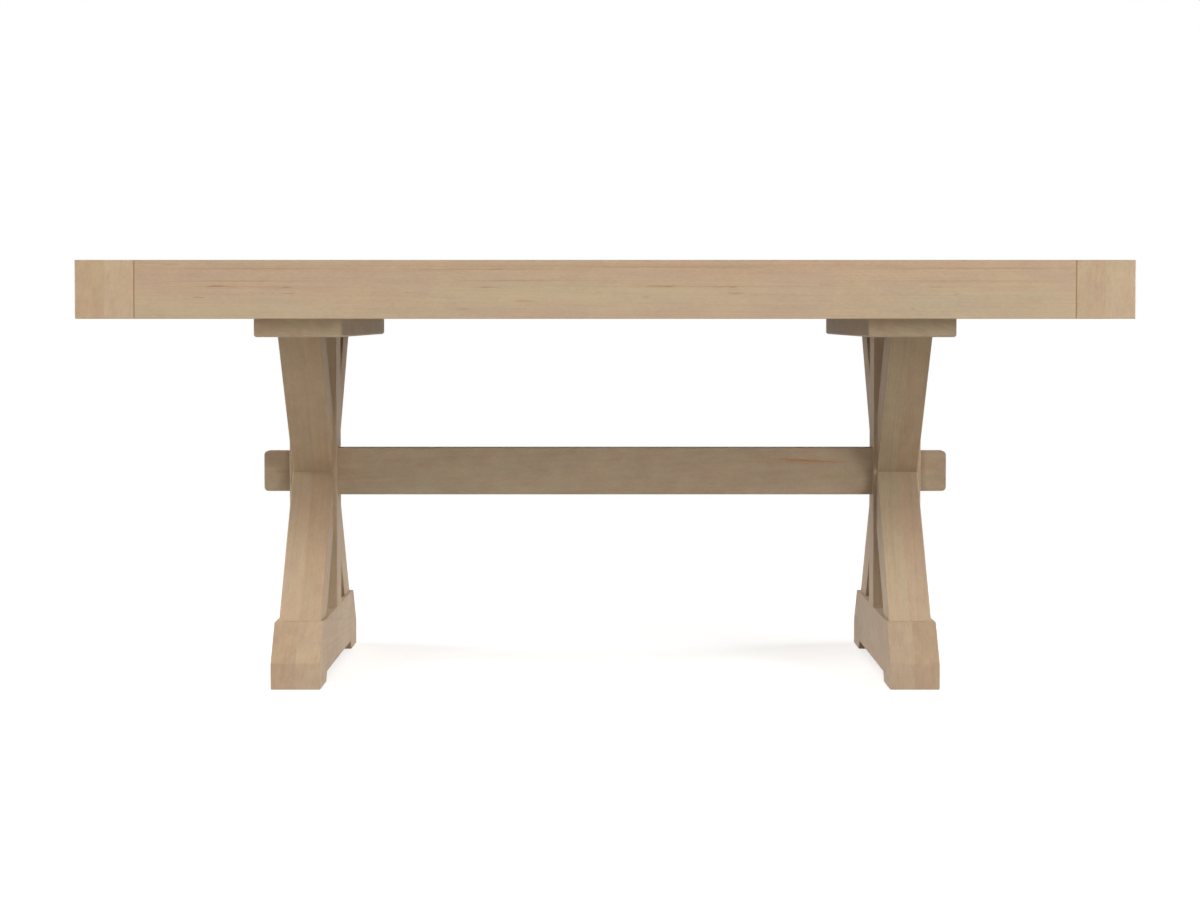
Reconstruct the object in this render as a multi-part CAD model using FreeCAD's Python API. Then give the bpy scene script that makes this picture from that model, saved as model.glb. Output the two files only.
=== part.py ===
import FreeCAD, Part
import math
import os

from FreeCAD import Vector

# Sawbuck dining table in solid maple, in millimetres.
# +X runs along the table, +Y across it and +Z up. The origin lies on the floor
# under the middle of the top. The front edge of the top is at -Y.
#
# The top is a field of tongued planks between two edge rails and two breadboard
# ends, on cross battens. Each trestle is a foot, a post and a top plate, with four
# half braces that butt against the post and make an X. One stretcher joins the
# posts, and its tenons pass right through them.

# ---------------------------------------------------------------- overall sizes
TABLE_LENGTH = 1828.8
TABLE_WIDTH = 1066.8
TABLE_HEIGHT = 762.0

# --------------------------------------------------------------------- tabletop
TOP_EDGE_HEIGHT = 101.6
BREADBOARD_WIDTH = 101.6
EDGE_RAIL_THICKNESS = 38.1
PLANK_THICKNESS = 28.6
PLANK_COUNT = 6
TONGUE_THICKNESS = 9.5
EDGE_TONGUE_LENGTH = 8.0
END_TONGUE_LENGTH = 16.0
BATTEN_THICKNESS = 50.8
BATTEN_HOUSING_DEPTH = 9.5
BATTEN_PLATE_MARGIN = 5.0

# --------------------------------------------------------------------- trestles
TRESTLE_INSET = 362.4
PLATE_WIDTH = 152.4
PLATE_THICKNESS = 31.8
PLATE_END_INSET = 31.8
PLATE_INWARD_OFFSET = 18.6
POST_SIZE = 88.9
POST_TENON_THICKNESS = 38.1
POST_TENON_WIDTH = 50.8
POST_TENON_IN_FOOT = 50.8
PLATE_COVER_OVER_TENON = 9.5
BRACE_ANGLE = 45.0
BRACE_WIDTH = 76.2
BRACE_THICKNESS = 76.2
FOOT_THICKNESS = 88.9
FOOT_HEIGHT = 114.3
FOOT_END_HEIGHT = 46.5
FOOT_SLANT_ANGLE = 45.0
FOOT_TOE_MARGIN = 19.0
FOOT_PAD_LENGTH = 114.3
FOOT_ARCH_HEIGHT = 17.0

# -------------------------------------------------------------------- stretcher
STRETCHER_HEIGHT = 88.9
STRETCHER_THICKNESS = 44.5
TENON_SHOULDER_HEIGHT = 6.35
TENON_SHOULDER_THICKNESS = 3.2
TENON_PROJECTION = 50.8
TENON_CORNER_RADIUS = 8.0

# ---------------------------------------------------------- dowels and fasteners
DOWEL_RADIUS = 5.0
DOWEL_LENGTH = 40.0
BRACE_DOWEL_SPACING = 38.0
RAIL_DOWEL_SPACING = 32.0
DOWEL_END_ROOM = 0.8
PEG_RADIUS = 4.8
PEG_SPACING = 40.0
SCREW_RADIUS = 2.5
SCREW_HEAD_RADIUS = 5.5
SCREW_HEAD_HEIGHT = 3.5
SCREW_POINT_LENGTH = 6.0
SCREW_COVER = 8.0
SCREW_COUNTERBORE_DEPTH = 35.0
SCREW_SLOT_TRAVEL = 6.0
FASTENER_LINE_OFFSET = 12.7
BOLT_RADIUS = 4.0
BOLT_HEAD_WIDTH = 13.0
BOLT_HEAD_HEIGHT = 5.3
BOLT_RECESS_DEPTH = 9.0
WASHER_RADIUS = 11.0
WASHER_THICKNESS = 2.0
INSERT_RADIUS = 6.0
INSERT_LENGTH = 20.0

# --------------------------------------------------------- clearances and easing
FIT_CLEARANCE = 0.1
TONGUE_TIP_ROOM = 0.5
HOLE_CLEARANCE = 0.5
ARRIS = 1.0
PLANK_ARRIS = 0.4
PLATE_BEVEL = 3.0
PIN_CHAMFER = 0.8

# ---------------------------------------------------- levels and derived places
HALF_LENGTH = TABLE_LENGTH / 2
HALF_WIDTH = TABLE_WIDTH / 2
EDGE_UNDERSIDE = TABLE_HEIGHT - TOP_EDGE_HEIGHT
PLANK_UNDERSIDE = TABLE_HEIGHT - PLANK_THICKNESS
TONGUE_LEVEL = TABLE_HEIGHT - PLANK_THICKNESS / 2
FIELD_HALF_LENGTH = HALF_LENGTH - BREADBOARD_WIDTH
FIELD_HALF_WIDTH = HALF_WIDTH - EDGE_RAIL_THICKNESS
PLANK_WIDTH = 2 * FIELD_HALF_WIDTH / PLANK_COUNT
PLANK_CENTRES = [PLANK_WIDTH * (n + 0.5) - FIELD_HALF_WIDTH for n in range(PLANK_COUNT)]

PLATE_UNDERSIDE = EDGE_UNDERSIDE - PLATE_THICKNESS
PLATE_HALF_LENGTH = HALF_WIDTH - PLATE_END_INSET
POST_HALF = POST_SIZE / 2
TRESTLE_X = HALF_LENGTH - TRESTLE_INSET
PLATE_X = TRESTLE_X - PLATE_INWARD_OFFSET
BATTEN_OFFSET = (PLATE_WIDTH - BATTEN_THICKNESS) / 2 - BATTEN_PLATE_MARGIN
WASHER_SEAT = PLATE_UNDERSIDE + BOLT_RECESS_DEPTH

# The braces cross at the hub, half way between the foot and the plate.
HUB_LEVEL = (FOOT_HEIGHT + PLATE_UNDERSIDE) / 2
SLOPE = math.radians(BRACE_ANGLE)
BRACE_CUT_HEIGHT = BRACE_WIDTH / math.cos(SLOPE)
BRACE_CUT_LENGTH = BRACE_WIDTH / math.sin(SLOPE)
BRACE_REACH = POST_HALF + (PLATE_UNDERSIDE - HUB_LEVEL) / math.tan(SLOPE)
BRACE_END_MIDDLE = BRACE_REACH - BRACE_CUT_LENGTH / 2
BRACE_DOWEL_RISE = BRACE_CUT_HEIGHT / 2 + 2 * DOWEL_RADIUS

FOOT_TOP_HALF = BRACE_REACH + FOOT_TOE_MARGIN
FOOT_SLANT_RUN = (FOOT_HEIGHT - FOOT_END_HEIGHT) / math.tan(math.radians(FOOT_SLANT_ANGLE))
FOOT_HALF_LENGTH = FOOT_TOP_HALF + FOOT_SLANT_RUN
FOOT_ARCH_HALF = FOOT_HALF_LENGTH - FOOT_PAD_LENGTH

TENON_HEIGHT = STRETCHER_HEIGHT - 2 * TENON_SHOULDER_HEIGHT
TENON_THICKNESS = STRETCHER_THICKNESS - 2 * TENON_SHOULDER_THICKNESS
STRETCHER_SHOULDER_X = TRESTLE_X - POST_HALF
TENON_END_X = TRESTLE_X + POST_HALF + TENON_PROJECTION

BOLT_ROWS = [(POST_HALF + BRACE_REACH - BRACE_CUT_LENGTH) / 2,
             (BRACE_REACH + PLATE_HALF_LENGTH) / 2]

SIDES = {"left": -1, "right": 1}
FACES = {"front": -1, "back": 1}
HALVES = {"lower": -1, "upper": 1}
ALONG_X = Vector(1, 0, 0)
ALONG_Y = Vector(0, 1, 0)
ALONG_Z = Vector(0, 0, 1)


# ------------------------------------------------------------------ basic shapes
def block(x_range, y_range, z_range):
    """A box between the two values of each range, given in either order."""
    low = Vector(min(x_range), min(y_range), min(z_range))
    high = Vector(max(x_range), max(y_range), max(z_range))
    size = high - low
    return Part.makeBox(size.x, size.y, size.z, low)


def around(middle, size):
    """The range of the given size, centred on a value."""
    return (middle - size / 2, middle + size / 2)


def rod(centre, direction, radius, length):
    """A round bar centred on a point."""
    start = centre - direction * (length / 2)
    return Part.makeCylinder(radius, length, start, direction)


def pin(centre, direction, radius, length):
    """A round bar with chamfered ends, for dowels and pegs."""
    bar = rod(centre, direction, radius, length)
    rims = [edge for edge in bar.Edges if isinstance(edge.Curve, Part.Circle)]
    return bar.makeChamfer(PIN_CHAMFER, rims)


def slot(x, y, radius, travel, z_range):
    """An upright slot with round ends that runs along Y."""
    ends = [rod(Vector(x, y + step, sum(z_range) / 2), ALONG_Z, radius, abs(z_range[1] - z_range[0]))
            for step in (-travel / 2, travel / 2)]
    middle = block(around(x, 2 * radius), around(y, travel), z_range)
    return middle.fuse(ends).removeSplitter()


def side_profile(points, x_middle, thickness):
    """A plate cut to a closed outline of (y, z) points, centred on x_middle."""
    start = x_middle - thickness / 2
    corners = [Vector(start, y, z) for y, z in points]
    outline = Part.makePolygon(corners + corners[:1])
    return Part.Face(outline).extrude(ALONG_X * thickness)


def is_along(edge, direction):
    """Whether a straight edge runs in a direction, either way."""
    run = edge.lastVertex().Point - edge.firstVertex().Point
    return run.cross(direction).Length < 1e-6 * run.Length


def ease_edges(shape, width, direction):
    """Take a small chamfer off the edges that run in one direction."""
    return shape.makeChamfer(width, [edge for edge in shape.Edges if is_along(edge, direction)])


def ease_all(shape, width):
    """Take a small chamfer off every edge."""
    return shape.makeChamfer(width, shape.Edges)


def holes_for(places, direction):
    """The blind holes that the dowels at these places need, both halves at once."""
    radius = DOWEL_RADIUS + FIT_CLEARANCE
    length = DOWEL_LENGTH + 2 * DOWEL_END_ROOM
    return [rod(place, direction, radius, length) for place in places]


def save(name, pieces):
    """Write one node: a single solid, or a group of separate solids."""
    shape = pieces[0] if len(pieces) == 1 else Part.makeCompound(pieces)
    shape.exportStep(os.path.join("parts", name + ".step"))


# --------------------------------------------------------------- places of joints
def edge_rail_dowel_places():
    """Dowels across the joints between the edge rails and the breadboard ends."""
    levels = around((EDGE_UNDERSIDE + PLANK_UNDERSIDE) / 2, RAIL_DOWEL_SPACING)
    rail_middle = HALF_WIDTH - EDGE_RAIL_THICKNESS / 2
    return [Vector(side * FIELD_HALF_LENGTH, face * rail_middle, level)
            for side in SIDES.values() for face in FACES.values() for level in levels]


def brace_post_dowel_places(side):
    """Level dowels between the braces and the post of one trestle."""
    return [Vector(x, face * POST_HALF, HUB_LEVEL + half * BRACE_DOWEL_RISE)
            for x in around(side * TRESTLE_X, BRACE_DOWEL_SPACING)
            for face in FACES.values() for half in HALVES.values()]


def brace_end_dowel_places(side):
    """Upright dowels between the braces and the foot and plate of one trestle."""
    return [Vector(x, face * BRACE_END_MIDDLE, level)
            for x in around(side * TRESTLE_X, BRACE_DOWEL_SPACING)
            for face in FACES.values() for level in (FOOT_HEIGHT, PLATE_UNDERSIDE)]


def peg_places(side):
    """Pegs that lock the stretcher's tenon in one post."""
    return [Vector(side * TRESTLE_X, 0, level) for level in around(HUB_LEVEL, PEG_SPACING)]


def batten_lines():
    """Centre of each batten in X, with the X of its screws and of its bolts, or None."""
    lines = []
    for side in SIDES.values():
        for step in (-1, 1):
            centre = side * PLATE_X + step * BATTEN_OFFSET
            shift = step * FASTENER_LINE_OFFSET
            lines.append((centre, centre - shift, centre + shift))
    lines.append((0.0, 0.0, None))
    return sorted(lines, key=lambda line: line[0])


def bolt_places(x):
    """Where the plate bolts on one line cross the underside of the top."""
    return [Vector(x, face * row, EDGE_UNDERSIDE) for face in FACES.values() for row in BOLT_ROWS]


def peg_holes(side):
    """The cross holes for the pegs, through a post and the tenon in it."""
    return [rod(place, ALONG_Y, PEG_RADIUS + FIT_CLEARANCE, POST_SIZE) for place in peg_places(side)]


# ---------------------------------------------------------------------- tabletop
def breadboard_end(side):
    """End board of the top, grooved for the plank tongues and drilled for dowels."""
    board = block((side * FIELD_HALF_LENGTH, side * HALF_LENGTH),
                  (-HALF_WIDTH, HALF_WIDTH), (EDGE_UNDERSIDE, TABLE_HEIGHT))
    board = ease_all(board, ARRIS)
    groove_depth = END_TONGUE_LENGTH + TONGUE_TIP_ROOM
    groove = block((side * FIELD_HALF_LENGTH, side * (FIELD_HALF_LENGTH + groove_depth)),
                   around(0, 2 * (FIELD_HALF_WIDTH + FIT_CLEARANCE)),
                   around(TONGUE_LEVEL, TONGUE_THICKNESS + 2 * FIT_CLEARANCE))
    return board.cut([groove] + holes_for(edge_rail_dowel_places(), ALONG_X))


def edge_rail(face):
    """Deep rail along the front or back, grooved for a plank and housed for battens."""
    inner = face * FIELD_HALF_WIDTH
    rail = block((-FIELD_HALF_LENGTH, FIELD_HALF_LENGTH),
                 (inner, face * HALF_WIDTH), (EDGE_UNDERSIDE, TABLE_HEIGHT))
    rail = ease_all(rail, ARRIS)
    groove = block((-FIELD_HALF_LENGTH, FIELD_HALF_LENGTH),
                   (inner, face * (FIELD_HALF_WIDTH + EDGE_TONGUE_LENGTH + TONGUE_TIP_ROOM)),
                   around(TONGUE_LEVEL, TONGUE_THICKNESS + 2 * FIT_CLEARANCE))
    housings = [block(around(centre, BATTEN_THICKNESS + 2 * FIT_CLEARANCE),
                      (inner, face * (FIELD_HALF_WIDTH + BATTEN_HOUSING_DEPTH)),
                      (EDGE_UNDERSIDE, PLANK_UNDERSIDE))
                for centre, screw_x, bolt_x in batten_lines()]
    return rail.cut([groove] + housings + holes_for(edge_rail_dowel_places(), ALONG_X))


def top_plank(number):
    """One plank: a tongue on its front edge, a groove on its back edge and end tongues.

    The last plank has a tongue on its back edge too, for the back rail.
    """
    centre = PLANK_CENTRES[number]
    front, back = around(centre, PLANK_WIDTH)
    length = (-FIELD_HALF_LENGTH, FIELD_HALF_LENGTH)
    tongue_height = around(TONGUE_LEVEL, TONGUE_THICKNESS)
    plank = block(length, (front, back), (PLANK_UNDERSIDE, TABLE_HEIGHT))
    plank = ease_all(plank, PLANK_ARRIS)
    tongued_length = FIELD_HALF_LENGTH + END_TONGUE_LENGTH
    tongues = [block(length, (front - EDGE_TONGUE_LENGTH, centre), tongue_height),
               block((-tongued_length, tongued_length), (front, back), tongue_height)]
    if number == PLANK_COUNT - 1:
        tongues.append(block(length, (centre, back + EDGE_TONGUE_LENGTH), tongue_height))
        return plank.fuse(tongues).cut(plank_screw_holes(centre)).removeSplitter()
    groove = block(length, (back - EDGE_TONGUE_LENGTH - TONGUE_TIP_ROOM, back),
                   around(TONGUE_LEVEL, TONGUE_THICKNESS + 2 * FIT_CLEARANCE))
    return plank.fuse(tongues).cut([groove] + plank_screw_holes(centre)).removeSplitter()


def plank_screw_holes(centre):
    """Pilot holes in the underside of one plank, one over each batten."""
    depth = PLANK_THICKNESS - SCREW_COVER + FIT_CLEARANCE
    return [Part.makeCylinder(SCREW_RADIUS + FIT_CLEARANCE, depth, Vector(screw_x, centre, PLANK_UNDERSIDE))
            for batten_x, screw_x, bolt_x in batten_lines()]


def cross_batten(centre, screw_x, bolt_x):
    """Batten under the planks, slotted for the plank screws and drilled for inserts."""
    half_length = FIELD_HALF_WIDTH + BATTEN_HOUSING_DEPTH
    batten = block(around(centre, BATTEN_THICKNESS), (-half_length, half_length),
                   (EDGE_UNDERSIDE, PLANK_UNDERSIDE))
    batten = ease_all(batten, ARRIS)
    seat = EDGE_UNDERSIDE + SCREW_COUNTERBORE_DEPTH
    cuts = []
    for y in PLANK_CENTRES:
        cuts.append(slot(screw_x, y, SCREW_HEAD_RADIUS + HOLE_CLEARANCE, SCREW_SLOT_TRAVEL,
                         (EDGE_UNDERSIDE, seat)))
        cuts.append(slot(screw_x, y, SCREW_RADIUS + HOLE_CLEARANCE, SCREW_SLOT_TRAVEL,
                         (seat, PLANK_UNDERSIDE)))
    if bolt_x is not None:
        for place in bolt_places(bolt_x):
            cuts.append(Part.makeCylinder(INSERT_RADIUS + FIT_CLEARANCE, INSERT_LENGTH, place))
    return batten.cut(cuts)


# ---------------------------------------------------------------------- trestles
def foot(side):
    """Sled foot with slanted ends and a low arch that leaves a pad at each end."""
    arch_top = FOOT_ARCH_HALF - FOOT_ARCH_HEIGHT
    outline = [(-FOOT_HALF_LENGTH, 0), (-FOOT_ARCH_HALF, 0), (-arch_top, FOOT_ARCH_HEIGHT),
               (arch_top, FOOT_ARCH_HEIGHT), (FOOT_ARCH_HALF, 0), (FOOT_HALF_LENGTH, 0),
               (FOOT_HALF_LENGTH, FOOT_END_HEIGHT), (FOOT_TOP_HALF, FOOT_HEIGHT),
               (-FOOT_TOP_HALF, FOOT_HEIGHT), (-FOOT_HALF_LENGTH, FOOT_END_HEIGHT)]
    body = side_profile(outline, side * TRESTLE_X, FOOT_THICKNESS)
    body = body.makeChamfer(ARRIS, [edge for edge in body.Edges if not is_along(edge, ALONG_X)])
    mortise = block(around(side * TRESTLE_X, POST_TENON_THICKNESS + 2 * FIT_CLEARANCE),
                    around(0, POST_TENON_WIDTH + 2 * FIT_CLEARANCE),
                    (FOOT_HEIGHT - POST_TENON_IN_FOOT - TONGUE_TIP_ROOM, FOOT_HEIGHT))
    return body.cut([mortise] + holes_for(brace_end_dowel_places(side), ALONG_Z))


def top_plate(side):
    """Flat plate under the top that carries it, mortised for the post."""
    plate = block(around(side * PLATE_X, PLATE_WIDTH), (-PLATE_HALF_LENGTH, PLATE_HALF_LENGTH),
                  (PLATE_UNDERSIDE, EDGE_UNDERSIDE))
    lower_edges = [edge for edge in plate.Edges if edge.BoundBox.ZMax < PLATE_UNDERSIDE + 1e-6]
    plate = plate.makeChamfer(PLATE_BEVEL, lower_edges)
    tenon_room = PLATE_THICKNESS - PLATE_COVER_OVER_TENON + TONGUE_TIP_ROOM
    mortise = block(around(side * TRESTLE_X, POST_TENON_THICKNESS + 2 * FIT_CLEARANCE),
                    around(0, POST_TENON_WIDTH + 2 * FIT_CLEARANCE),
                    (PLATE_UNDERSIDE, PLATE_UNDERSIDE + tenon_room))
    bolt_holes = [rod(place, ALONG_Z, BOLT_RADIUS + HOLE_CLEARANCE, 2 * PLATE_THICKNESS)
                  for place in trestle_bolt_places(side)]
    recesses = [Part.makeCylinder(WASHER_RADIUS + HOLE_CLEARANCE, BOLT_RECESS_DEPTH,
                                  Vector(place.x, place.y, PLATE_UNDERSIDE))
                for place in trestle_bolt_places(side)]
    dowel_holes = holes_for(brace_end_dowel_places(side), ALONG_Z)
    return plate.cut([mortise] + bolt_holes + recesses + dowel_holes)


def post(side):
    """Square post with a tenon at each end and a through mortise for the stretcher."""
    x = side * TRESTLE_X
    shaft = block(around(x, POST_SIZE), around(0, POST_SIZE), (FOOT_HEIGHT, PLATE_UNDERSIDE))
    shaft = ease_edges(shaft, ARRIS, ALONG_Z)
    tenons = block(around(x, POST_TENON_THICKNESS), around(0, POST_TENON_WIDTH),
                   (FOOT_HEIGHT - POST_TENON_IN_FOOT, EDGE_UNDERSIDE - PLATE_COVER_OVER_TENON))
    mortise = block(around(x, POST_SIZE), around(0, TENON_THICKNESS + 2 * FIT_CLEARANCE),
                    around(HUB_LEVEL, TENON_HEIGHT + 2 * FIT_CLEARANCE))
    cuts = [mortise] + peg_holes(side) + holes_for(brace_post_dowel_places(side), ALONG_Y)
    return shaft.fuse(tenons).cut(cuts)


def brace(side, face, half):
    """Half brace from the post at the hub out to the foot or to the plate."""
    end_level = PLATE_UNDERSIDE if half > 0 else FOOT_HEIGHT
    outline = [(face * POST_HALF, HUB_LEVEL),
               (face * POST_HALF, HUB_LEVEL + half * BRACE_CUT_HEIGHT),
               (face * (BRACE_REACH - BRACE_CUT_LENGTH), end_level),
               (face * BRACE_REACH, end_level)]
    body = side_profile(outline, side * TRESTLE_X, BRACE_THICKNESS)
    grain = Vector(0, face * math.cos(SLOPE), half * math.sin(SLOPE))
    body = ease_edges(body, ARRIS, grain)
    return body.cut(holes_for(brace_post_dowel_places(side), ALONG_Y)
                    + holes_for(brace_end_dowel_places(side), ALONG_Z))


def trestle_bolt_places(side):
    """Places of all the bolts through one top plate."""
    return [place for centre, screw_x, bolt_x in batten_lines()
            if bolt_x is not None and side * bolt_x > 0 for place in bolt_places(bolt_x)]


# --------------------------------------------------------------------- stretcher
def stretcher():
    """Stretcher with a shouldered through tenon at each end, its corners rounded."""
    body = block((-STRETCHER_SHOULDER_X, STRETCHER_SHOULDER_X), around(0, STRETCHER_THICKNESS),
                 around(HUB_LEVEL, STRETCHER_HEIGHT))
    body = ease_edges(body, ARRIS, ALONG_X)
    tenons = block((-TENON_END_X, TENON_END_X), around(0, TENON_THICKNESS),
                   around(HUB_LEVEL, TENON_HEIGHT))
    corners = [edge for edge in tenons.Edges if is_along(edge, ALONG_Y)]
    tenons = tenons.makeFillet(TENON_CORNER_RADIUS, corners)
    return body.fuse(tenons).cut(peg_holes(SIDES["left"]) + peg_holes(SIDES["right"]))


# --------------------------------------------------------------------- fasteners
def plank_screw(x, y):
    """Pan head wood screw, up through a batten and into a plank."""
    seat = EDGE_UNDERSIDE + SCREW_COUNTERBORE_DEPTH
    tip = TABLE_HEIGHT - SCREW_COVER
    shank_end = tip - SCREW_POINT_LENGTH
    head = Part.makeCylinder(SCREW_HEAD_RADIUS, SCREW_HEAD_HEIGHT, Vector(x, y, seat - SCREW_HEAD_HEIGHT))
    rim = [edge for edge in head.Edges if edge.BoundBox.ZMax < seat - SCREW_HEAD_HEIGHT + 1e-6]
    head = head.makeFillet(SCREW_HEAD_HEIGHT / 2, rim)
    shank = Part.makeCylinder(SCREW_RADIUS, shank_end - seat, Vector(x, y, seat))
    point = Part.makeCone(SCREW_RADIUS, 0, SCREW_POINT_LENGTH, Vector(x, y, shank_end))
    return head.fuse([shank, point]).removeSplitter()


def hexagon_prism(centre, width, height):
    """Upright hexagonal prism, width across its flats."""
    radius = width / math.sqrt(3)
    turns = [math.radians(60 * n) for n in range(6)]
    corners = [centre + Vector(radius * math.cos(a), radius * math.sin(a), 0) for a in turns]
    outline = Part.makePolygon(corners + corners[:1])
    return Part.Face(outline).extrude(ALONG_Z * height)


def plate_bolt(place):
    """Hex bolt from its recess in the plate up into its threaded insert."""
    head_top = WASHER_SEAT - WASHER_THICKNESS
    head_bottom = Vector(place.x, place.y, head_top - BOLT_HEAD_HEIGHT)
    head = hexagon_prism(head_bottom, BOLT_HEAD_WIDTH, BOLT_HEAD_HEIGHT)
    shank_length = EDGE_UNDERSIDE + INSERT_LENGTH - HOLE_CLEARANCE - head_top
    shank = Part.makeCylinder(BOLT_RADIUS, shank_length, Vector(place.x, place.y, head_top))
    return head.fuse(shank)


def ring(place, low, height, outer_radius, inner_radius):
    """Flat ring or sleeve standing on a level."""
    base = Vector(place.x, place.y, low)
    outer = Part.makeCylinder(outer_radius, height, base)
    return outer.cut(Part.makeCylinder(inner_radius, height, base))


# ------------------------------------------------------------- build every node
os.makedirs("parts", exist_ok=True)

for side_name, side in SIDES.items():
    save(side_name + "_breadboard_end", [breadboard_end(side)])
    save(side_name + "_foot", [foot(side)])
    save(side_name + "_post", [post(side)])
    save(side_name + "_top_plate", [top_plate(side)])
    for face_name, face in FACES.items():
        for half_name, half in HALVES.items():
            save("_".join([side_name, face_name, half_name, "brace"]), [brace(side, face, half)])

for face_name, face in FACES.items():
    save(face_name + "_edge_rail", [edge_rail(face)])

for number in range(PLANK_COUNT):
    save("top_plank_%d" % (number + 1), [top_plank(number)])

for number, line in enumerate(batten_lines()):
    save("cross_batten_%d" % (number + 1), [cross_batten(*line)])

save("stretcher", [stretcher()])
save("stretcher_pegs", [pin(place, ALONG_Y, PEG_RADIUS, POST_SIZE)
                        for side in SIDES.values() for place in peg_places(side)])
save("edge_rail_dowels", [pin(place, ALONG_X, DOWEL_RADIUS, DOWEL_LENGTH)
                          for place in edge_rail_dowel_places()])
save("brace_post_dowels", [pin(place, ALONG_Y, DOWEL_RADIUS, DOWEL_LENGTH)
                           for side in SIDES.values() for place in brace_post_dowel_places(side)])
save("brace_end_dowels", [pin(place, ALONG_Z, DOWEL_RADIUS, DOWEL_LENGTH)
                          for side in SIDES.values() for place in brace_end_dowel_places(side)])
save("plank_screws", [plank_screw(screw_x, y)
                      for batten_x, screw_x, bolt_x in batten_lines() for y in PLANK_CENTRES])

BOLTS = [place for side in SIDES.values() for place in trestle_bolt_places(side)]
save("plate_bolts", [plate_bolt(place) for place in BOLTS])
save("plate_washers", [ring(place, WASHER_SEAT - WASHER_THICKNESS, WASHER_THICKNESS,
                            WASHER_RADIUS, BOLT_RADIUS + HOLE_CLEARANCE) for place in BOLTS])
save("threaded_inserts", [ring(place, EDGE_UNDERSIDE, INSERT_LENGTH,
                               INSERT_RADIUS, BOLT_RADIUS + FIT_CLEARANCE) for place in BOLTS])
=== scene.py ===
import math
import random

import bpy
from mathutils import Matrix, Vector


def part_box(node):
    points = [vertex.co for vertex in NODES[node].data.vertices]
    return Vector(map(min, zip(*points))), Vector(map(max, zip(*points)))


# Studio scene of a sawbuck table in bare maple, in metres. Every board has its own material, whose
# grain and growth rings lie in the board as they would in wood sawn from a log.

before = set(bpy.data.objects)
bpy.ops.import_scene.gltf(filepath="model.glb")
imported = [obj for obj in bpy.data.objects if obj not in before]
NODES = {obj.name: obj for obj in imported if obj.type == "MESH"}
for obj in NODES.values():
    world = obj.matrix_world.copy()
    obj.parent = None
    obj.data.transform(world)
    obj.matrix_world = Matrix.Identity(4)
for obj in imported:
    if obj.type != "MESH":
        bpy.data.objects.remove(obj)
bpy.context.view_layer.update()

ALONG_X = (1, 0, 0)
ALONG_Y = (0, 1, 0)
ALONG_Z = (0, 0, 1)
SIDES = {"left": -1, "right": 1}
FACES = {"front": -1, "back": 1}
HALVES = {"lower": -1, "upper": 1}
# Where the numbered sockets of a colour mix are.
MIX_FACTOR, MIX_A, MIX_B = 0, 6, 7
MIX_RESULT = 2

# ---------------------------------------------------------------- camera, metres
SENSOR_WIDTH = 36.0
FOCAL_LENGTH = 90.0
CAMERA_PLACE = (0.0, -5.711, 0.663)
CAMERA_DOWN = math.radians(2.532)
IMAGE_WIDTH = 1200
OBJECT_MIDDLE_PIXEL = 605.15

# ------------------------------------------------------- maple, linear colours
PINK_MAPLE = (0.520, 0.366, 0.240, 1.0)
BEIGE_MAPLE = (0.515, 0.393, 0.250, 1.0)
GREY_MAPLE = (0.440, 0.345, 0.247, 1.0)

# Tints multiply the colour of the wood.
RING_TINT = (0.82, 0.74, 0.66, 1.0)
STREAK_TINT = (0.82, 0.74, 0.68, 1.0)
FLECK_TINT = (0.74, 0.55, 0.42, 1.0)
AMBER_TINT = (1.02, 0.68, 0.36, 1.0)
OCHRE_TINT = (0.84, 0.66, 0.44, 1.0)
TAN_TINT = (1.00, 0.88, 0.74, 1.0)
SEAM_TINT = (0.66, 0.53, 0.42, 1.0)
BLUSH_TINT = (1.00, 0.90, 0.86, 1.0)
ROSY_TINT = (0.975, 0.940, 0.950, 1.0)
SAGE_TINT = (0.950, 0.990, 0.985, 1.0)
# Painted shade, not colours of the wood: on the tenons, at the tenons' roots by the posts, at the
# braces' upper ends and on the plates' inner sides.
TENON_PAINTED_SHADE = (0.870, 0.880, 0.890, 1.0)
TENON_ROOT_PAINTED_SHADOW = (0.770, 0.765, 0.770, 1.0)
BRACE_TOP_PAINTED_SHADES = {"upper": (0.840, 0.830, 0.790, 1.0), "lower": (0.930, 0.955, 0.970, 1.0)}
PLATE_SIDE_PAINTED_SHADE = (0.820, 0.830, 0.850, 1.0)

# Tints of the staves that wide boards are glued up from.
PALE_STAVE = (1.00, 1.00, 1.00, 1.0)
ORANGE_STAVE = (0.95, 0.895, 0.86, 1.0)
CREAM_STAVE = (1.04, 1.07, 1.09, 1.0)
PINK_STAVE = (1.00, 0.965, 0.955, 1.0)
WARM_STAVE = (0.94, 0.915, 0.88, 1.0)

# ----------------------------------------------------------- figure of the wood
# Growth rings are a wave of this spacing around a pith outside the board. A ring wave of scale 1
# has its rings this far apart.
RING_SPACING = 0.0034
WAVE_RING_FACTOR = 2 * math.pi / 20
RING_STRETCH = (0.15, 1.0, 1.0)
RING_WANDER = {"Distortion": 5.0, "Detail": 2.0, "Detail Scale": 0.22, "Detail Roughness": 0.5}
RING_SHARPNESS = 4.0
PITH_DISTANCE = (0.12, 0.22)
PITH_TILT = math.radians(1.3)
CUT_SWING = math.radians(14)
# How far a board may lie from the middle of the log's figure, along it and across it.
SPOT_ALONG = 5.0
SPOT_ACROSS = 0.02

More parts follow.
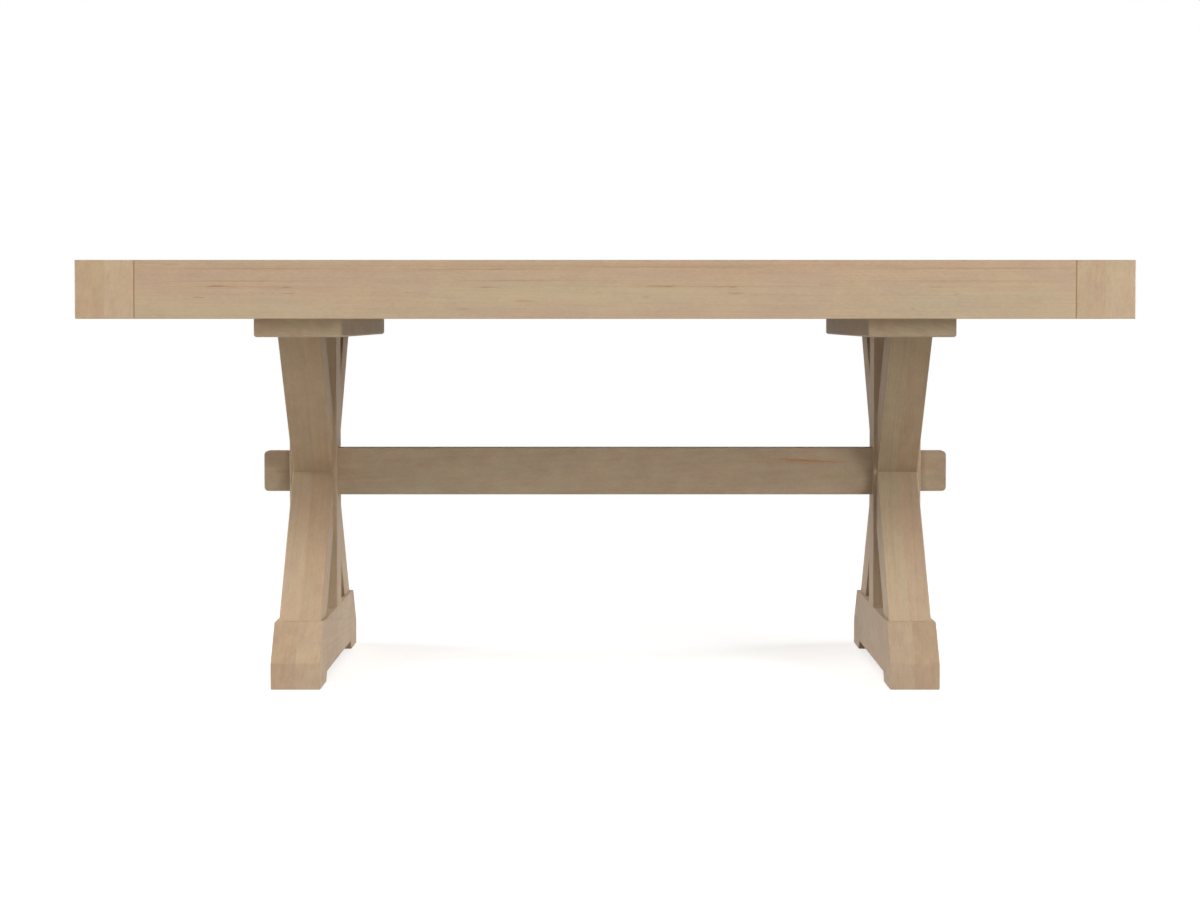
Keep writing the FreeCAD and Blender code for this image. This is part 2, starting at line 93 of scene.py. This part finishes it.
# Noises in the wood: how much each is squeezed along the grain, outward from the pith and around it,
# then its detail and its roughness.
FIGURE = {"zones": ((1.3, 14.0, 5.0), 2.0, 0.5),
          "clouds": ((26.0, 42.0, 42.0), 3.0, 0.6),
          "mottle": ((9.0, 38.0, 24.0), 3.0, 0.6),
          "bands": ((1.5, 80.0, 14.0), 3.0, 0.6),
          "streaks": ((1.5, 240.0, 15.0), 2.0, 0.6),
          "lines": ((5.0, 330.0, 70.0), 2.0, 0.6),
          "speckle": ((120.0, 380.0, 380.0), 2.0, 0.5),
          "fibres": ((60.0, 1600.0, 1200.0), 2.0, 0.5),
          "pores": ((230.0, 3600.0, 3600.0), 1.0, 0.5),
          "flecks": ((16.0, 280.0, 200.0), 1.0, 0.5)}

# The part of a noise over which its effect grows from nothing to full.
SMOOTH = (0.3, 0.7)
HUE_CHANGE = (0.40, 0.60)
GREY_PATCH = (0.42, 0.72)
BAND = (0.54, 0.74)
STREAK = (0.50, 0.72)
FLECK = (0.77, 0.83)
PORE = (0.62, 0.74)
PORE_PIT = (0.60, 0.74)

# How strong the full effects are.
GREY_SHARE = 0.45
BAND_SHARE = 0.34
STREAK_SHARE = 0.55
FLECK_SHARE = 0.6
LINE_SHADE = (0.975, 1.05)
FIBRE_SHADE = 0.03
SPECKLE_SHADE = 0.04
CLOUD_SHADE = 0.07
PORE_SHADE = -0.10
LINE_RELIEF = 0.4
PORE_RELIEF = 0.6
BUMP_STRENGTH = 0.3
BUMP_HEIGHT = 0.0003
FIBRE_ROUGHNESS = (0.55, 0.65)
MOTTLE_ROUGHNESS = 0.03

# The figure that each kind of board shows, where it differs from that of plain maple.
RAIL_LOOK = {"rings_shown": 0.15, "streaked": 0.3, "blotched": 0.25}
END_BOARD_LOOK = {"rings_shown": 0.4}
FOOT_LOOK = {"rings_shown": 0.4, "sheen": 0.5}
POST_LOOK = {"sheen": 0.4}
PLATE_LOOK = {"sheen": 0.08}
BRACE_LOOKS = {"lower": {"rings_shown": 0.5, "sheen": 0.5},
               "upper": {"rings_shown": 0.5, "sheen": 0.25}}
STRETCHER_LOOK = {"rings_shown": 0.12, "streaked": 0.9, "blotched": 0.7}

# ----------------------------------------------------------- tones of the boards, and painted light
# How each board differs from plain maple in red, green and blue: partly its own tone and partly
# painted light, with the front upper braces made darker and the front lower braces lighter.
PLAIN = (1.0, 1.0, 1.0)
BOARD_TONES_AND_PAINTED_LIGHT = {"front_edge_rail": (0.99, 1.00, 1.00),
               "left_breadboard_end": (1.06, 1.08, 1.07),
               "right_breadboard_end": (0.99, 0.98, 0.97),
               "left_top_plate": (1.00, 1.04, 1.05),
               "right_top_plate": (0.89, 0.92, 0.95),
               "left_post": (1.00, 1.05, 1.06),
               "right_post": (0.95, 0.96, 0.98),
               "left_foot": (1.02, 1.02, 1.03),
               "right_foot": (0.93, 0.94, 0.96),
               "left_front_lower_brace": (1.09, 1.10, 1.12),
               "right_front_lower_brace": (1.03, 1.08, 1.11),
               "left_front_upper_brace": (0.93, 0.94, 0.92),
               "right_front_upper_brace": (0.84, 0.86, 0.84),
               "stretcher": (1.01, 1.06, 1.10)}
# How much lighter or darker than plain maple the other boards may be.
TONE_SPREAD = 0.02
PLANK_TONE_SPREAD = 0.07
BATTEN_TONE_SPREAD = 0.05

# End boards, feet and braces are glued up from two staves, side by side along X: the tints of the
# left one and of the right one. The right one comes from another place in the log.
STAVES = {"left_breadboard_end": (ORANGE_STAVE, PALE_STAVE),
          "right_breadboard_end": (PALE_STAVE, CREAM_STAVE),
          "left_foot": (WARM_STAVE, PALE_STAVE),
          "right_foot": (PALE_STAVE, WARM_STAVE),
          "left_front_lower_brace": (PALE_STAVE, WARM_STAVE),
          "right_front_lower_brace": (PALE_STAVE, PINK_STAVE)}
USUAL_STAVES = (PALE_STAVE, PINK_STAVE)
STAVE_JUMP = (1.7, 0.043, 0.031)

# The dark line of a seam begins and is darkest this far from a board's edge.
SEAM_REACH = (0.0013, 0.0004)
# Painted shade: a brace darkens toward its upper end over this length, for the shade under the top on
# upper braces and at the crease on lower ones, and a plate toward its inner side, for the shade under
# the top.
BRACE_PAINTED_SHADE_LENGTH = 0.090
PLATE_PAINTED_SHADE_WIDTH = 0.003

# ------------------------------------------------------------ marks in the wood, and painted shade
# Marks on the fronts of the front rail and the stretcher. Each has its middle along X, its height as
# a share of the board's, its half length and half height, its tilt in degrees, its tint and its
# strength. The rail's first two are broad changes of tone. The stretcher's last four are painted
# shade:
# two broad ones over its tenons and two narrow ones where the tenons come out of the posts.
RAIL_MARKS = [(0.00, 0.87, 3.000, 0.0540, 0, ROSY_TINT, 1.00),
              (0.55, 0.25, 0.400, 0.0500, 0, SAGE_TINT, 1.00),
              (0.05, 0.90, 1.100, 0.0045, 0, TAN_TINT, 0.55),
              (-0.67, 0.55, 0.021, 0.0018, 0, FLECK_TINT, 0.95),
              (-0.66, 0.55, 0.045, 0.0035, 0, BLUSH_TINT, 0.60),
              (-0.55, 0.53, 0.013, 0.0018, 0, FLECK_TINT, 0.75),
              (-0.545, 0.435, 0.018, 0.0018, 0, OCHRE_TINT, 0.70),
              (-0.70, 0.36, 0.017, 0.0018, 0, OCHRE_TINT, 0.80),
              (-0.205, 0.535, 0.026, 0.0018, 0, FLECK_TINT, 0.65),
              (-0.14, 0.30, 0.024, 0.0018, 0, OCHRE_TINT, 0.80),
              (-0.245, 0.165, 0.017, 0.0018, 0, FLECK_TINT, 0.45),
              (0.10, 0.56, 0.040, 0.0018, 0, OCHRE_TINT, 0.95),
              (0.11, 0.56, 0.016, 0.0014, 0, FLECK_TINT, 0.50),
              (0.20, 0.54, 0.040, 0.0014, 0, FLECK_TINT, 0.50),
              (0.22, 0.54, 0.013, 0.0018, 0, FLECK_TINT, 0.75),
              (0.225, 0.435, 0.019, 0.0018, 0, OCHRE_TINT, 0.80),
              (0.07, 0.37, 0.011, 0.0016, 0, FLECK_TINT, 0.55),
              (0.57, 0.54, 0.022, 0.0014, 0, FLECK_TINT, 0.40),
              (0.605, 0.41, 0.008, 0.0016, 0, FLECK_TINT, 0.45),
              (0.53, 0.17, 0.008, 0.0016, 0, FLECK_TINT, 0.45),
              (-0.60, 0.85, 0.230, 0.0020, 0, STREAK_TINT, 0.75),
              (-0.20, 0.84, 0.250, 0.0018, 0, STREAK_TINT, 0.70),
              (0.10, 0.88, 0.250, 0.0018, 0, STREAK_TINT, 0.75),
              (0.64, 0.855, 0.260, 0.0020, 0, STREAK_TINT, 0.75),
              (-0.62, 0.64, 0.200, 0.0018, 0, STREAK_TINT, 0.60),
              (-0.14, 0.65, 0.170, 0.0018, 0, STREAK_TINT, 0.65),
              (0.60, 0.64, 0.250, 0.0018, 0, STREAK_TINT, 0.60),
              (-0.64, 0.545, 0.230, 0.0016, 0, STREAK_TINT, 0.60),
              (0.18, 0.545, 0.300, 0.0016, 0, STREAK_TINT, 0.60)]
# The dark line at each end of the front rail, where it meets an end board.
RAIL_JOINT_X = 0.8122
RAIL_MARKS += [(side * RAIL_JOINT_X, 0.5, 0.0018, 0.5, 0, SEAM_TINT, 1.00)
               for side in SIDES.values()]

STRETCHER_MARKS = [(0.393, 0.722, 0.094, 0.0026, 2.8, AMBER_TINT, 0.95),
                   (0.345, 0.745, 0.050, 0.0042, 2.8, AMBER_TINT, 0.35),
                   (0.385, 0.700, 0.110, 0.0080, 2.8, BLUSH_TINT, 0.70),
                   (0.420, 0.400, 0.070, 0.0120, 0, BLUSH_TINT, 0.60)]
# The tenons are darker than the rest: painted shade, with a painted contact shadow where they come
# out of the posts.
STRETCHER_MARKS += [(-0.66, 0.5, 0.120, 0.2, 0, TENON_PAINTED_SHADE, 0.80),
                    (0.66, 0.5, 0.120, 0.2, 0, TENON_PAINTED_SHADE, 1.00)]
TENON_ROOT_X = 0.598
STRETCHER_MARKS += [(side * TENON_ROOT_X, 0.5, 0.016, 0.2, 0, TENON_ROOT_PAINTED_SHADOW, 1.00)
                    for side in SIDES.values()]

# How deep a mark goes into the wood, and how far and how often its outline strays up and down.
MARK_DEPTH = 0.012
MARK_RIPPLE = 0.003
MARK_RIPPLE_SQUEEZE = (45.0, 45.0, 45.0)
# A mark is full over this share of its half size.
MARK_CORE = 0.1

# -------------------------------------------------------------------- fasteners
ZINC = (0.62, 0.63, 0.65, 1.0)
ZINC_ROUGHNESS = 0.34
BRASS = (0.74, 0.55, 0.27, 1.0)
BRASS_ROUGHNESS = 0.30
# Metal keeps this share of its colour in dull clouds.
METAL_DULL_SHARE = 0.85
METAL_CLOUD_SCALE = 120.0
METAL_CLOUD = (0.35, 0.65)
# It also has fine marks from turning.
TURNING_MARKS = (300.0, 300.0, 2500.0)
TURNING_ROUGHNESS = 0.06
TURNING_STRENGTH = 0.2
TURNING_HEIGHT = 0.0001

# -------------------------------------------------------------- light and floor
LAMP_DISTANCE = 6.0
LAMP_SIZE = 1.8
LAMP_TARGET = (0.0, 0.0, 0.35)
# Azimuth from the front and elevation in degrees, and watts.
LAMPS = {"key": (36, 18, 92),
         "high_left": (-42, 38, 94),
         "left": (-72, 26, 74),
         "front": (0, 40, 42),
         "high_right": (45, 40, 42),
         "right": (68, 24, 48),
         "side_left": (-105, 15, 132),
         "side_right": (102, 15, 130),
         "back": (180, 35, 40)}
WORLD_LIGHT = 0.06
FLOOR_HALF_SIZE = 30.0
FLOOR_LEVEL = -0.0005
# The floor that lights the table is a plain grey. The floor that is seen is a glow and a share of
# plain paint that keeps the table's shadow. It turns plain white over this range of distances from
# the table's middle.
FLOOR_PAINT = 0.68
FLOOR_WHITE = 0.66
FLOOR_SHADOW_SHARE = 0.68
SHADOW_RANGE = (1.6, 3.2)


class NodeMaker:
    """Adds nodes to one node tree, each with its inputs given as values or outputs."""

    def __init__(self, tree):
        self.tree = tree
        tree.nodes.clear()

    def add(self, kind, inputs=None, **settings):
        """Add one node, given its inputs by name or number and its settings."""
        node = self.tree.nodes.new(kind)
        for name, value in settings.items():
            setattr(node, name, value)
        for name, value in (inputs or {}).items():
            self.feed(node.inputs[name], value)
        return node

    def feed(self, socket, value):
        """Link an output to an input, or set the input's value."""
        if isinstance(value, bpy.types.NodeSocket):
            self.tree.links.new(value, socket)
        else:
            socket.default_value = value

    def maths(self, operation, a, b=0.0):
        return self.add("ShaderNodeMath", {0: a, 1: b}, operation=operation).outputs["Value"]

    def vector_maths(self, operation, a, b=(0.0, 0.0, 0.0)):
        return self.add("ShaderNodeVectorMath", {0: a, 1: b}, operation=operation)

    def dot(self, a, b):
        return self.vector_maths("DOT_PRODUCT", a, b).outputs["Value"]

    def length(self, vector):
        return self.vector_maths("LENGTH", vector).outputs["Value"]

    def noise(self, vector, scale=1.0, detail=2.0, roughness=0.5):
        inputs = {"Vector": vector, "Scale": scale, "Detail": detail, "Roughness": roughness}
        return self.add("ShaderNodeTexNoise", inputs).outputs["Fac"]

    def squeezed(self, vector, scale):
        return self.add("ShaderNodeMapping", {"Vector": vector, "Scale": scale}).outputs["Vector"]

    def remap(self, value, low, high, to_low=0.0, to_high=1.0):
        """Turn one range of values into another, with what lies outside it held at its ends."""
        inputs = {"Value": value, "From Min": low, "From Max": high,
                  "To Min": to_low, "To Max": to_high}
        return self.add("ShaderNodeMapRange", inputs).outputs["Result"]

    def mix(self, factor, a, b, blend="MIX"):
        """Blend colour b into colour a by a factor."""
        inputs = {MIX_FACTOR: factor, MIX_A: a, MIX_B: b}
        node = self.add("ShaderNodeMix", inputs, data_type="RGBA", blend_type=blend)
        return node.outputs[MIX_RESULT]


def wood_turn(grain, radial, chance):
    """The turn into a board's own axes: +X along the grain, +Y out from the pith.

    The pith is a little off the board's length, and the board was sawn a little askew.
    """
    along = Vector(grain).normalized()
    outward = (Vector(radial) - along * along.dot(Vector(radial))).normalized()
    axes = Matrix((along, outward, along.cross(outward)))
    swing = Matrix.Rotation(chance.uniform(-CUT_SWING, CUT_SWING), 3, "X")
    tilt = Matrix.Rotation(chance.uniform(-PITH_TILT, PITH_TILT), 3, "Z")
    return (tilt @ swing @ axes).to_euler()


def mark_mask(make, place, middle, half_size, tilt):
    """1 in the middle of a lens-shaped mark, falling smoothly to 0 at its edge."""
    local = make.add("ShaderNodeMapping", {"Vector": place, "Location": middle, "Scale": half_size,
                                           "Rotation": (0, math.radians(tilt), 0)},
                     vector_type="TEXTURE").outputs["Vector"]
    reach = make.length(local)
    soft = make.add("ShaderNodeMapRange", {"Value": reach, "From Min": 1.0, "From Max": MARK_CORE},
                    interpolation_type="SMOOTHSTEP")
    return soft.outputs["Result"]


def add_marks(make, place, name, colour, marks):
    """Tint the colour where the front face of one board carries its marks."""
    low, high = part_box(name)
    ripple = make.add("ShaderNodeTexNoise", {"Vector": make.squeezed(place, MARK_RIPPLE_SQUEEZE),
                                             "Scale": 1.0, "Detail": 2.0}).outputs["Color"]
    centred = make.vector_maths("SUBTRACT", ripple, (0.5, 0.5, 0.5)).outputs["Vector"]
    scaled = make.vector_maths("MULTIPLY", centred, (0.0, 0.0, MARK_RIPPLE)).outputs["Vector"]
    warped = make.vector_maths("ADD", place, scaled).outputs["Vector"]
    for middle_x, height, half_length, half_height, tilt, tint, strength in marks:
        middle = (middle_x, low[1], low[2] + height * (high[2] - low[2]))
        mask = mark_mask(make, warped, middle, (half_length, MARK_DEPTH, half_height), tilt)
        colour = make.mix(make.maths("MULTIPLY", mask, strength), colour, tint, "MULTIPLY")
    return colour


def glue_up(make, name, place, wood, staves):
    """Cut a board into a left and a right stave: gives a point's place in the wood, and its tint."""
    left_tint, right_tint = staves
    low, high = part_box(name)
    joint = (low[0] + high[0]) / 2
    right = make.maths("GREATER_THAN", make.dot(place, ALONG_X), joint)
    jump = make.add("ShaderNodeVectorMath", {0: STAVE_JUMP, "Scale": right},
                    operation="SCALE").outputs["Vector"]
    moved = make.vector_maths("ADD", wood, jump).outputs["Vector"]
    return moved, make.mix(right, left_tint, right_tint)


def add_seams(make, place, name, colour, across):
    """Darken a thin line along both edges of a board that lies against its neighbours."""
    low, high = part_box(name)
    near, far = (Vector(corner).dot(across) for corner in (low, high))
    from_middle = make.maths("SUBTRACT", make.dot(place, across), (near + far) / 2)
    off_middle = make.maths("ABSOLUTE", from_middle)
    edge = (far - near) / 2
    mask = make.remap(off_middle, edge - SEAM_REACH[0], edge - SEAM_REACH[1])
    return make.mix(mask, colour, SEAM_TINT, "MULTIPLY")


def add_painted_shade(make, place, name, colour, toward, length, tint):
    """Paint shade on the colour, more and more toward one end or side of a board."""
    end = max(Vector(corner).dot(toward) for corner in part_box(name))
    share = make.remap(make.dot(place, toward), end - length, end)
    return make.mix(share, colour, tint, "MULTIPLY")


def place_in_log(make, name, place, grain, radial):
    """Turn and move a board's own space to where it was sawn, with the pith along X."""
    chance = random.Random(name)
    turn = wood_turn(grain, radial, chance)
    low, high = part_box(name)
    middle = (Vector(low) + Vector(high)) / 2
    along = chance.uniform(-SPOT_ALONG, SPOT_ALONG)
    outward = chance.uniform(*PITH_DISTANCE)
    around = chance.uniform(-SPOT_ACROSS, SPOT_ACROSS)
    shift = Vector((along, outward, around)) - turn.to_matrix() @ middle
    moved = make.add("ShaderNodeMapping", {"Vector": place, "Location": shift, "Rotation": turn})
    return moved.outputs["Vector"]


def wood_figure(make, wood):
    """The growth rings and the noises, long along the grain and thin outward from the pith."""
    inputs = {"Vector": make.squeezed(wood, RING_STRETCH), "Scale": WAVE_RING_FACTOR / RING_SPACING}
    inputs.update(RING_WANDER)
    rings = make.add("ShaderNodeTexWave", inputs, wave_type="RINGS", rings_direction="X",
                     wave_profile="SAW").outputs["Fac"]
    figure = {"rings": make.maths("POWER", rings, RING_SHARPNESS)}
    for layer, (squeeze, detail, roughness) in FIGURE.items():
        figure[layer] = make.noise(make.squeezed(wood, squeeze), detail=detail, roughness=roughness)
    return figure


def wood_colour(make, figure, rings_shown, streaked, blotched):
    """Pink, beige and grey wood with darker rings, bands and streaks."""
    hue = make.maths("ADD", make.maths("MULTIPLY", figure["zones"], 1 - blotched),
                     make.maths("MULTIPLY", figure["clouds"], blotched))
    colour = make.mix(make.remap(hue, *HUE_CHANGE), PINK_MAPLE, BEIGE_MAPLE)
    grey_share = make.remap(figure["mottle"], *GREY_PATCH, 0.0, GREY_SHARE)
    colour = make.mix(grey_share, colour, GREY_MAPLE)
    ring_share = make.remap(figure["rings"], 0.0, 1.0, 0.0, rings_shown)
    colour = make.mix(ring_share, colour, RING_TINT, "MULTIPLY")
    band_share = make.remap(figure["bands"], *BAND, 0.0, BAND_SHARE * streaked)
    colour = make.mix(band_share, colour, STREAK_TINT, "MULTIPLY")
    streak_share = make.remap(figure["streaks"], *STREAK, 0.0, STREAK_SHARE * streaked)
    return make.mix(streak_share, colour, BLUSH_TINT, "MULTIPLY")


def wood_shade(make, figure, blotched):
    """How light the wood is from its fine figure, about 1."""
    cloud_shade = CLOUD_SHADE * blotched
    shade = make.remap(figure["lines"], *SMOOTH, *LINE_SHADE)
    for change in (make.remap(figure["fibres"], *SMOOTH, -FIBRE_SHADE, FIBRE_SHADE),
                   make.remap(figure["speckle"], *SMOOTH, -SPECKLE_SHADE, SPECKLE_SHADE),
                   make.remap(figure["clouds"], *SMOOTH, -cloud_shade, cloud_shade),
                   make.remap(figure["pores"], *PORE, 0.0, PORE_SHADE)):
        shade = make.maths("ADD", shade, change)
    return shade


def wood_surface(make, figure, colour, sheen):
    """The finish: fine relief of lines, fibres and pores, and a matt gloss that varies a little."""
    relief = make.maths("ADD", make.maths("MULTIPLY", figure["lines"], LINE_RELIEF), figure["fibres"])
    relief = make.maths("SUBTRACT", relief, make.remap(figure["pores"], *PORE_PIT, 0.0, PORE_RELIEF))
    bump = make.add("ShaderNodeBump", {"Height": relief, "Strength": BUMP_STRENGTH,
                                       "Distance": BUMP_HEIGHT})
    roughness = make.maths("ADD", make.remap(figure["fibres"], *SMOOTH, *FIBRE_ROUGHNESS),
                           make.remap(figure["mottle"], *SMOOTH, -MOTTLE_ROUGHNESS, MOTTLE_ROUGHNESS))
    shader = make.add("ShaderNodeBsdfPrincipled",
                      {"Base Color": colour, "Roughness": roughness, "Normal": bump.outputs["Normal"],
                       "Specular IOR Level": sheen})
    make.add("ShaderNodeOutputMaterial", {"Surface": shader.outputs["BSDF"]})


def maple(name, grain, radial, tint=PLAIN, marks=(), rings_shown=0.30, streaked=1.0, blotched=0.5,
          staves=None, seams=None, painted_shade=None, sheen=0.25):
    """Bare sanded maple, given the directions of its grain and of its growth."""
    material = bpy.data.materials.new("maple_" + name)
    material.use_nodes = True
    make = NodeMaker(material.node_tree)
    place = make.add("ShaderNodeTexCoord").outputs["Object"]
    wood = place_in_log(make, name, place, grain, radial)
    if staves:
        wood, stave_tint = glue_up(make, name, place, wood, staves)
    figure = wood_figure(make, wood)

    colour = wood_colour(make, figure, rings_shown, streaked, blotched)
    shade = wood_shade(make, figure, blotched)
    channels = {n: make.maths("MULTIPLY", shade, share) for n, share in enumerate(tint)}
    shade_colour = make.add("ShaderNodeCombineColor", channels).outputs["Color"]
    colour = make.mix(1.0, colour, shade_colour, "MULTIPLY")
    fleck_share = make.remap(figure["flecks"], *FLECK, 0.0, FLECK_SHARE)
    colour = make.mix(fleck_share, colour, FLECK_TINT, "MULTIPLY")
    if staves:
        colour = make.mix(1.0, colour, stave_tint, "MULTIPLY")
    if seams:
        colour = add_seams(make, place, name, colour, seams)
    if painted_shade:
        colour = add_painted_shade(make, place, name, colour, *painted_shade)
    if marks:
        colour = add_marks(make, place, name, colour, marks)
    wood_surface(make, figure, colour, sheen)
    return material


def metal(name, colour, roughness):
    """Plated or machined metal with fine turning marks."""
    material = bpy.data.materials.new(name)
    material.use_nodes = True
    make = NodeMaker(material.node_tree)
    place = make.add("ShaderNodeTexCoord").outputs["Object"]
    marks = make.noise(make.squeezed(place, TURNING_MARKS), detail=3.0)
    cloud = make.noise(place, scale=METAL_CLOUD_SCALE, detail=3.0)
    dull = [channel * METAL_DULL_SHARE for channel in colour[:3]] + [1.0]
    tint = make.mix(make.remap(cloud, *METAL_CLOUD), dull, colour)
    bump = make.add("ShaderNodeBump", {"Height": marks, "Strength": TURNING_STRENGTH,
                                       "Distance": TURNING_HEIGHT})
    varied = make.remap(marks, *SMOOTH, roughness - TURNING_ROUGHNESS, roughness + TURNING_ROUGHNESS)
    shader = make.add("ShaderNodeBsdfPrincipled",
                      {"Base Color": tint, "Metallic": 1.0, "Roughness": varied,
                       "Normal": bump.outputs["Normal"]})
    make.add("ShaderNodeOutputMaterial", {"Surface": shader.outputs["BSDF"]})
    return material


def dress(name, material):
    """Give one CAD node its finish."""
    slots = NODES[name].material_slots
    if not slots:
        NODES[name].data.materials.append(material)
    for slot in slots:
        slot.material = material


def board_tint(name, spread=TONE_SPREAD):
    """The board's listed tint, which for some boards is painted light, or one a little lighter or
    darker than plain maple.
    """
    tone = random.Random(name + " tone").uniform(1 - spread, 1 + spread)
    return BOARD_TONES_AND_PAINTED_LIGHT.get(name, (tone, tone, tone))


def staves_of(name):
    """The tints of the two staves of a board."""
    return STAVES.get(name, USUAL_STAVES)


def dress_top():
    """Rails sawn on the quarter, end boards with upright rings, and flat-sawn planks."""
    for name, marks in (("front_edge_rail", RAIL_MARKS), ("back_edge_rail", ())):
        dress(name, maple(name, ALONG_X, ALONG_Z, board_tint(name), marks, **RAIL_LOOK))
    for side in SIDES:
        name = side + "_breadboard_end"
        dress(name, maple(name, ALONG_Y, ALONG_X, board_tint(name), staves=staves_of(name),
                          **END_BOARD_LOOK))
    for name in sorted(NODES):
        if name.startswith("top_plank"):
            tint = board_tint(name, PLANK_TONE_SPREAD)
            dress(name, maple(name, ALONG_X, ALONG_Z, tint, seams=ALONG_Y))
        elif name.startswith("cross_batten"):
            tint = board_tint(name, BATTEN_TONE_SPREAD)
            dress(name, maple(name, ALONG_Y, ALONG_Z, tint))


def dress_trestles():
    """Upright rings in the feet, posts and braces, so that their fronts show upright lines."""
    for side, sign in SIDES.items():
        foot, post, plate = side + "_foot", side + "_post", side + "_top_plate"
        dress(foot, maple(foot, ALONG_Y, ALONG_X, board_tint(foot), staves=staves_of(foot),
                          **FOOT_LOOK))
        dress(post, maple(post, ALONG_Z, ALONG_X, board_tint(post), **POST_LOOK))
        inward = (-sign, 0, 0)
        # The plate's inner side gets painted shade.
        dress(plate, maple(plate, ALONG_Y, ALONG_Z, board_tint(plate),
                           painted_shade=(inward, PLATE_PAINTED_SHADE_WIDTH, PLATE_SIDE_PAINTED_SHADE), **PLATE_LOOK))
        for face, outward in FACES.items():
            for half, upward in HALVES.items():
                name = "_".join([side, face, half, "brace"])
                # Each brace gets painted shade toward its upper end.
                painted_shade = (ALONG_Z, BRACE_PAINTED_SHADE_LENGTH, BRACE_TOP_PAINTED_SHADES[half])
                dress(name, maple(name, (0, outward, upward), ALONG_X, board_tint(name),
                                  staves=staves_of(name), painted_shade=painted_shade, **BRACE_LOOKS[half]))
    # The stretcher's marks include painted shade on its tenons.
    dress("stretcher", maple("stretcher", ALONG_X, ALONG_Y, board_tint("stretcher"), STRETCHER_MARKS,
                             **STRETCHER_LOOK))


def dress_joinery():
    """Dowels and pegs in wood, and the fasteners in metal."""
    for name, grain in (("stretcher_pegs", ALONG_Y), ("edge_rail_dowels", ALONG_X),
                        ("brace_post_dowels", ALONG_Y), ("brace_end_dowels", ALONG_Z)):
        radial = ALONG_Z if grain == ALONG_X else ALONG_X
        dress(name, maple(name, grain, radial))
    steel = metal("zinc_steel", ZINC, ZINC_ROUGHNESS)
    for name in ("plank_screws", "plate_bolts", "plate_washers"):
        dress(name, steel)
    dress("threaded_inserts", metal("insert_brass", BRASS, BRASS_ROUGHNESS))


def seen_rays(make):
    """1 on rays that show the surround: straight, in a reflection or through glass."""
    rays = make.add("ShaderNodeLightPath").outputs
    mirrored = make.maths("MAXIMUM", rays["Is Glossy Ray"], rays["Is Transmission Ray"])
    return make.maths("MAXIMUM", rays["Is Camera Ray"], mirrored)


def grey(level):
    """An opaque grey."""
    return (level, level, level, 1.0)


def build_floor():
    """Pale floor that keeps the table's shadow near it and is white further out."""
    half = FLOOR_HALF_SIZE
    mesh = bpy.data.meshes.new("floor")
    corners = [(-half, -half, 0), (half, -half, 0), (half, half, 0), (-half, half, 0)]
    mesh.from_pydata(corners, [], [(0, 1, 2, 3)])
    floor = bpy.data.objects.new("floor", mesh)
    floor.location.z = FLOOR_LEVEL
    bpy.context.scene.collection.objects.link(floor)

    material = bpy.data.materials.new("floor")
    material.use_nodes = True
    make = NodeMaker(material.node_tree)
    paint = make.add("ShaderNodeBsdfDiffuse", {"Color": grey(FLOOR_PAINT)}).outputs["BSDF"]
    shadowed = make.add("ShaderNodeBsdfDiffuse", {"Color": grey(FLOOR_SHADOW_SHARE)}).outputs["BSDF"]
    pale = make.add("ShaderNodeEmission", {"Color": grey(FLOOR_WHITE), "Strength": 1.0}).outputs[0]
    white = make.add("ShaderNodeEmission", {"Color": grey(1.0), "Strength": 1.0}).outputs[0]
    near = make.add("ShaderNodeAddShader", {0: shadowed, 1: pale}).outputs[0]
    place = make.add("ShaderNodeTexCoord").outputs["Object"]
    far_share = make.remap(make.length(place), *SHADOW_RANGE)
    shown = make.add("ShaderNodeMixShader", {0: far_share, 1: near, 2: white}).outputs[0]
    both = make.add("ShaderNodeMixShader", {0: seen_rays(make), 1: paint, 2: shown}).outputs[0]
    make.add("ShaderNodeOutputMaterial", {"Surface": both})
    mesh.materials.append(material)


def build_world():
    """Plain white surround: lights the table softly, and is white behind it."""
    world = bpy.data.worlds.new("surround")
    bpy.context.scene.world = world
    world.use_nodes = True
    make = NodeMaker(world.node_tree)
    strength = make.remap(seen_rays(make), 0.0, 1.0, WORLD_LIGHT, 1.0)
    light = make.add("ShaderNodeBackground", {"Color": grey(1.0), "Strength": strength})
    make.add("ShaderNodeOutputWorld", {"Surface": light.outputs["Background"]})


def build_lamps():
    """Large square soft lamps around the table, all facing it."""
    target = Vector(LAMP_TARGET)
    for name, (azimuth, elevation, watts) in LAMPS.items():
        turn, rise = math.radians(azimuth), math.radians(elevation)
        flat = math.cos(rise)
        toward = Vector((flat * math.sin(turn), -flat * math.cos(turn), math.sin(rise)))
        lamp = bpy.data.lights.new(name, "AREA")
        lamp.shape = "SQUARE"
        lamp.size = LAMP_SIZE
        lamp.energy = watts
        holder = bpy.data.objects.new(name, lamp)
        holder.location = target + toward * LAMP_DISTANCE
        holder.rotation_euler = toward.to_track_quat("Z", "Y").to_euler()
        holder.visible_camera = False
        bpy.context.scene.collection.objects.link(holder)


def build_camera():
    """Camera at the height of the top's underside, looking a little down."""
    lens = bpy.data.cameras.new("camera")
    lens.sensor_width = SENSOR_WIDTH
    lens.lens = FOCAL_LENGTH
    lens.shift_x = (IMAGE_WIDTH / 2 - OBJECT_MIDDLE_PIXEL) / IMAGE_WIDTH
    camera = bpy.data.objects.new("camera", lens)
    camera.location = CAMERA_PLACE
    camera.rotation_euler = (math.pi / 2 - CAMERA_DOWN, 0, 0)
    bpy.context.scene.collection.objects.link(camera)
    bpy.context.scene.camera = camera


build_camera()
build_world()
build_lamps()
build_floor()
dress_top()
dress_trestles()
dress_joinery()
bpy.context.scene.view_settings.view_transform = "Standard"
